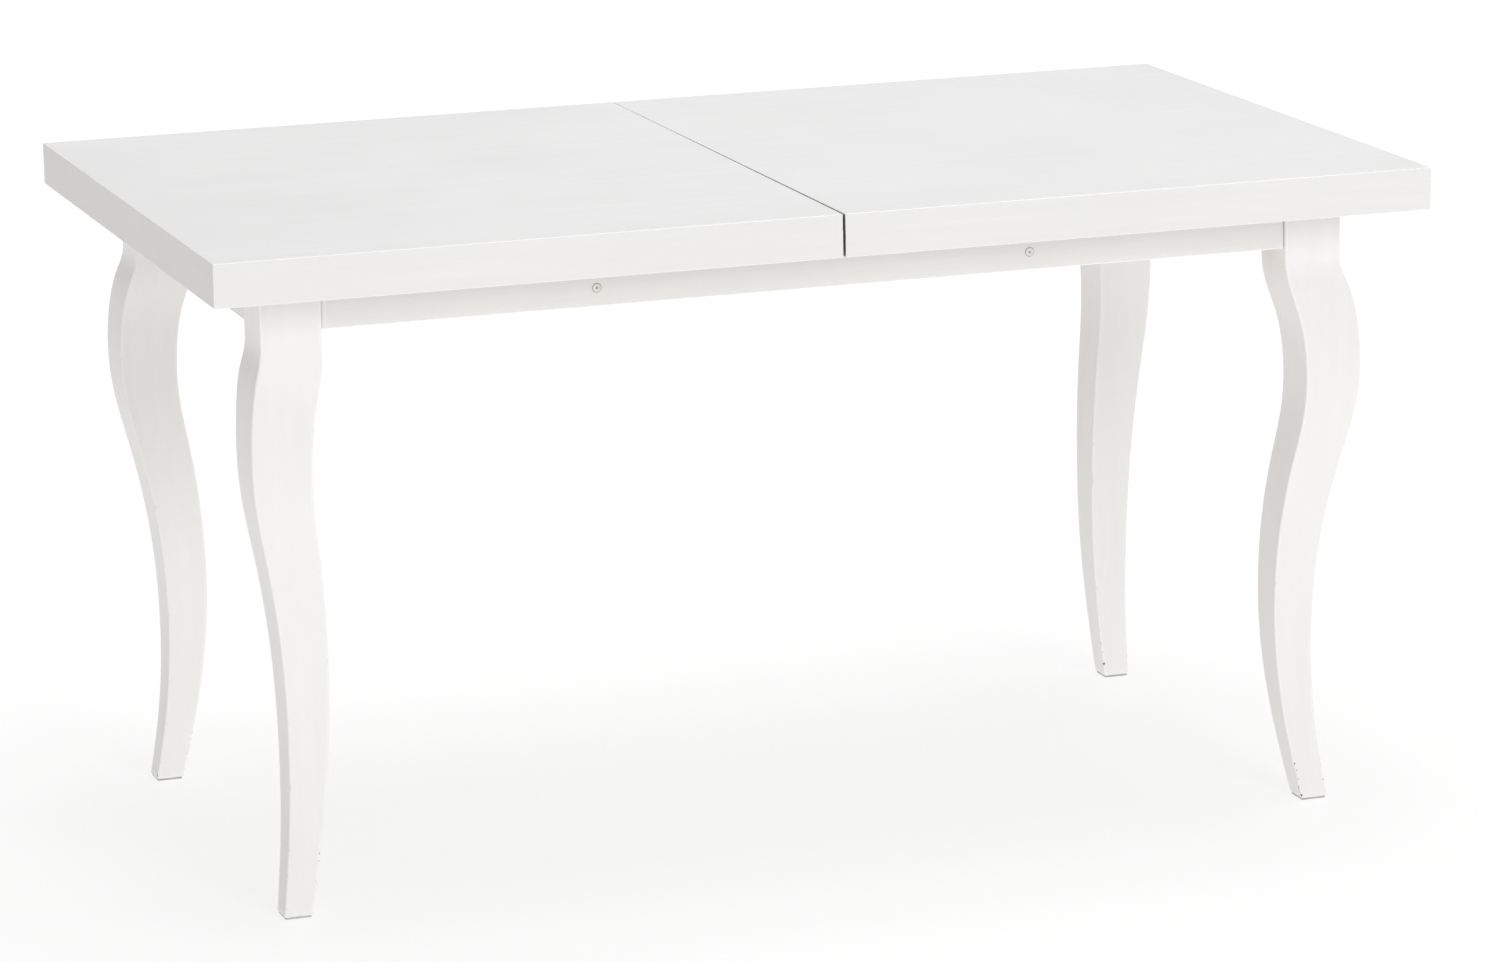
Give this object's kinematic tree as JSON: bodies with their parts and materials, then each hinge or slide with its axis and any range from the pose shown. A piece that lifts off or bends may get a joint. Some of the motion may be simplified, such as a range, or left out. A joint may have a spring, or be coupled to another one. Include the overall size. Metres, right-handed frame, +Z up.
{
  "type": "extendable dining table",
  "caption": "White lacquered extending dining table: thick split top sliding on ball runners, recessed apron, square-section cabriole legs, leaf stored in the well.",
  "frame": {"origin": "on the floor, under the middle of the closed table", "axes": "+X along the table's length, -Y towards the front, +Z up"},
  "size_m": [1.4, 0.8, 0.75],
  "materials": {
    "white_lacquer": "white satin lacquer over fibreboard and solid wood, crisp eased arrises",
    "beech": "planed beech, sealed",
    "dowel_wood": "fluted birch dowel, unfinished",
    "white_nylon": "moulded white nylon",
    "grey_plastic": "moulded grey plastic glide",
    "felt": "pressed grey felt",
    "ball_steel": "polished bearing steel",
    "runner_steel": "zinc plated rolled steel",
    "catch_steel": "zinc plated pressed steel",
    "zinc_fasteners": "bright zinc plated steel"
  },
  "bodies": {
    "under_frame": {"apron_back": "white_lacquer", "apron_front": "white_lacquer", "apron_left": "white_lacquer", "apron_right": "white_lacquer", "channel_screws": "zinc_fasteners", "corner_blocks": "beech", "cover_caps": "white_nylon", "cross_rail_left": "beech", "cross_rail_right": "beech", "foot_glides": "grey_plastic", "hanger_bolts": "zinc_fasteners", "hanger_nuts": "zinc_fasteners", "hanger_washers": "zinc_fasteners", "leaf_board": "white_lacquer", "leaf_edge_strips": "white_lacquer", "leaf_pins": "dowel_wood", "leaf_rest_pads": "felt", "leg_back_left": "white_lacquer", "leg_back_right": "white_lacquer", "leg_front_left": "white_lacquer", "leg_front_right": "white_lacquer", "rail_bolts": "zinc_fasteners", "runner_channel_back_left": "runner_steel", "runner_channel_back_right": "runner_steel", "runner_channel_front_left": "runner_steel", "runner_channel_front_right": "runner_steel", "top_glides": "white_nylon"},
    "half_top_left": {"alignment_pins": "dowel_wood", "bar_screws_left": "zinc_fasteners", "batten_screws_left": "zinc_fasteners", "catch_base_screws": "zinc_fasteners", "catch_bases": "catch_steel", "edge_strip_back_left": "white_lacquer", "edge_strip_end_left": "white_lacquer", "edge_strip_front_left": "white_lacquer", "slide_bars_left": "runner_steel", "slide_battens_left": "beech", "top_board_left": "white_lacquer"},
    "half_top_right": {"bar_screws_right": "zinc_fasteners", "batten_screws_right": "zinc_fasteners", "catch_keeper_screws": "zinc_fasteners", "catch_keepers": "catch_steel", "edge_strip_back_right": "white_lacquer", "edge_strip_end_right": "white_lacquer", "edge_strip_front_right": "white_lacquer", "slide_bars_right": "runner_steel", "slide_battens_right": "beech", "top_board_right": "white_lacquer"},
    "ball_cages_left": {"ball_cages_left": "runner_steel", "bearing_balls_left": "ball_steel"},
    "ball_cages_right": {"ball_cages_right": "runner_steel", "bearing_balls_right": "ball_steel"},
    "catch_arm_front": {"catch_arm_front": "catch_steel"},
    "catch_arm_back": {"catch_arm_back": "catch_steel"}
  },
  "joints": [
    {"name": "half_top_left_slide", "type": "slide", "parent": "under_frame", "child": "half_top_left", "axis": [-1, 0, 0], "range_m": [0, 0.2]},
    {"name": "half_top_right_slide", "type": "slide", "parent": "under_frame", "child": "half_top_right", "axis": [1, 0, 0], "range_m": [0, 0.2]},
    {"name": "ball_cages_left_roll", "type": "slide", "parent": "under_frame", "child": "ball_cages_left", "axis": [-1, 0, 0], "range_m": [0, 0.1]},
    {"name": "ball_cages_right_roll", "type": "slide", "parent": "under_frame", "child": "ball_cages_right", "axis": [1, 0, 0], "range_m": [0, 0.1]},
    {"name": "catch_arm_front_turn", "type": "hinge", "parent": "half_top_left", "child": "catch_arm_front", "pos_m": [-0.03, -0.23, 0.727], "axis": [0, 0, 1], "range_deg": [-80, 0]},
    {"name": "catch_arm_back_turn", "type": "hinge", "parent": "half_top_left", "child": "catch_arm_back", "pos_m": [-0.03, 0.23, 0.727], "axis": [0, 0, 1], "range_deg": [0, 80]}
  ],
  "couplings": [
    {"joint": "ball_cages_left_roll", "follows": "half_top_left_slide", "ratio": 0.5},
    {"joint": "ball_cages_right_roll", "follows": "half_top_right_slide", "ratio": 0.5}
  ]
}
